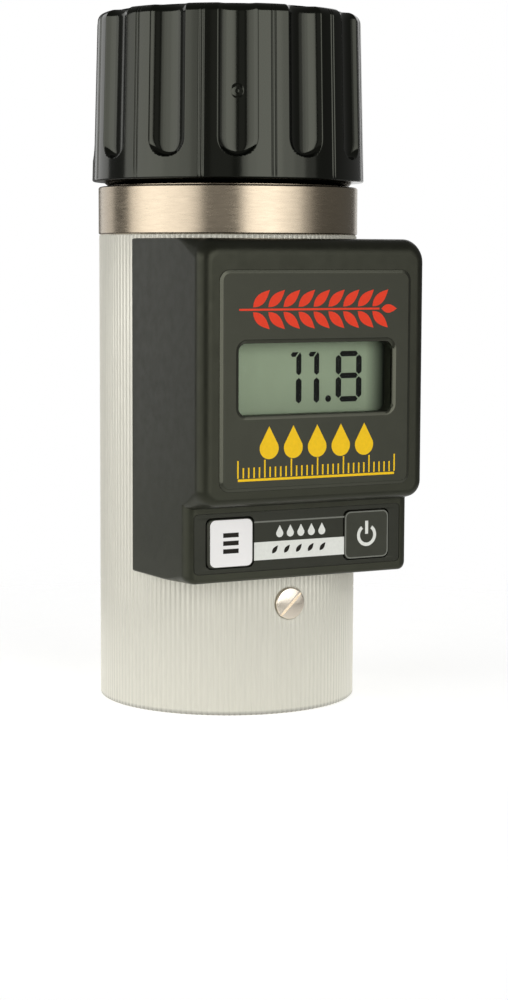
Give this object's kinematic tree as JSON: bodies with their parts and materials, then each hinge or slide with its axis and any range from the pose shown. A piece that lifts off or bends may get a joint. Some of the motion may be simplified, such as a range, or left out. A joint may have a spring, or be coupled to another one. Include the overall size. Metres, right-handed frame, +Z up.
{
  "type": "grain moisture meter",
  "caption": "Hand-held grain moisture meter: ribbed aluminium tube with a sample cell, fluted screw cap with sprung packing plate, digital display housing and keys.",
  "frame": {"origin": "centre of the base, on the tube's axis, at the surface that the meter stands on", "axes": "+Z up along the tube, -Y is the direction that the display faces, +X to the right as seen from the front"},
  "size_m": [0.0722, 0.0838, 0.1809],
  "materials": {
    "tube_aluminium": "satin, fine vertical ribs",
    "collar_nickel": "warm satin nickel, turned",
    "cell_aluminium": "turned",
    "insulator_plastic": "smooth",
    "electrode_brass": "polished",
    "fastener_steel": "plated",
    "component_black": "matt moulded",
    "wire_blue": "extruded sleeve",
    "wire_red": "extruded sleeve",
    "housing_plastic": "fine moulded texture",
    "label_film": "satin printed film",
    "window_clear": "clear",
    "lcd_glass": "grey-green display",
    "inner_plastic": "moulded",
    "contact_rubber": "soft",
    "circuit_board": "solder mask",
    "key_white": "satin",
    "key_dark": "satin",
    "base_plastic": "fine moulded texture",
    "battery_case": "printed foil",
    "seal_rubber": "soft",
    "cap_plastic": "satin moulded",
    "bush_brass": "turned",
    "spring_steel": "drawn wire"
  },
  "bodies": {
    "body": {"tube_body": "tube_aluminium", "collar_ring": "collar_nickel", "cell_cup": "cell_aluminium", "cell_base": "cell_aluminium", "cell_floor": "insulator_plastic", "centre_electrode": "electrode_brass", "electrode_insulator": "insulator_plastic", "electrode_nut": "fastener_steel", "temperature_sensor": "component_black", "electrode_lead": "wire_blue", "housing_shell": "housing_plastic", "housing_screws": "fastener_steel", "display_label": "label_film", "display_window": "window_clear", "lcd_panel": "lcd_glass", "lcd_holder": "inner_plastic", "contact_strips": "contact_rubber", "main_board": "circuit_board", "board_components": "component_black", "tact_switches": "component_black", "keypad_label": "label_film", "base_plug": "base_plastic", "base_screws": "fastener_steel", "battery": "battery_case", "battery_snap": "component_black", "battery_leads": "wire_red", "battery_cradle": "inner_plastic"},
    "function_key": {"function_key": "key_white", "function_stem": "inner_plastic"},
    "power_key": {"power_key": "key_dark", "power_stem": "inner_plastic"},
    "battery_cap": {"battery_cap": "base_plastic", "battery_cap_seal": "seal_rubber"},
    "spring_carrier": {"thrust_washer": "fastener_steel", "plunger_spring": "spring_steel"},
    "cap": {"cap_shell": "cap_plastic", "plunger_bush": "bush_brass"},
    "plunger": {"indicator_pin": "fastener_steel", "retaining_clip": "fastener_steel", "pressure_plate": "cell_aluminium", "plate_screw": "fastener_steel"}
  },
  "joints": [
    {"name": "cap_travel", "type": "slide", "parent": "body", "child": "spring_carrier", "axis": [0, 0, 1], "range_m": [0, 0.024]},
    {"name": "cap_turn", "type": "hinge", "parent": "spring_carrier", "child": "cap", "pos_m": [0, 0, 0.16], "axis": [0, 0, 1], "range_deg": [0, 1440]},
    {"name": "plunger_press", "type": "slide", "parent": "spring_carrier", "child": "plunger", "axis": [0, 0, 1], "range_m": [0, 0.006], "stiffness_N_per_m": 3000, "springref_m": -0.004, "deforming": ["plunger_spring"]},
    {"name": "function_key_press", "type": "slide", "parent": "body", "child": "function_key", "axis": [0, 1, 0], "range_m": [0, 0.0005], "stiffness_N_per_m": 2000, "springref_m": -0.0003},
    {"name": "power_key_press", "type": "slide", "parent": "body", "child": "power_key", "axis": [0, 1, 0], "range_m": [0, 0.0005], "stiffness_N_per_m": 2000, "springref_m": -0.0003},
    {"name": "battery_cap_turn", "type": "hinge", "parent": "body", "child": "battery_cap", "pos_m": [0, 0, 0.002], "axis": [0, 0, -1], "range_deg": [0, 60]}
  ],
  "couplings": [
    {"joint": "cap_travel", "follows": "cap_turn", "m_per_rad": 0.00095493}
  ]
}
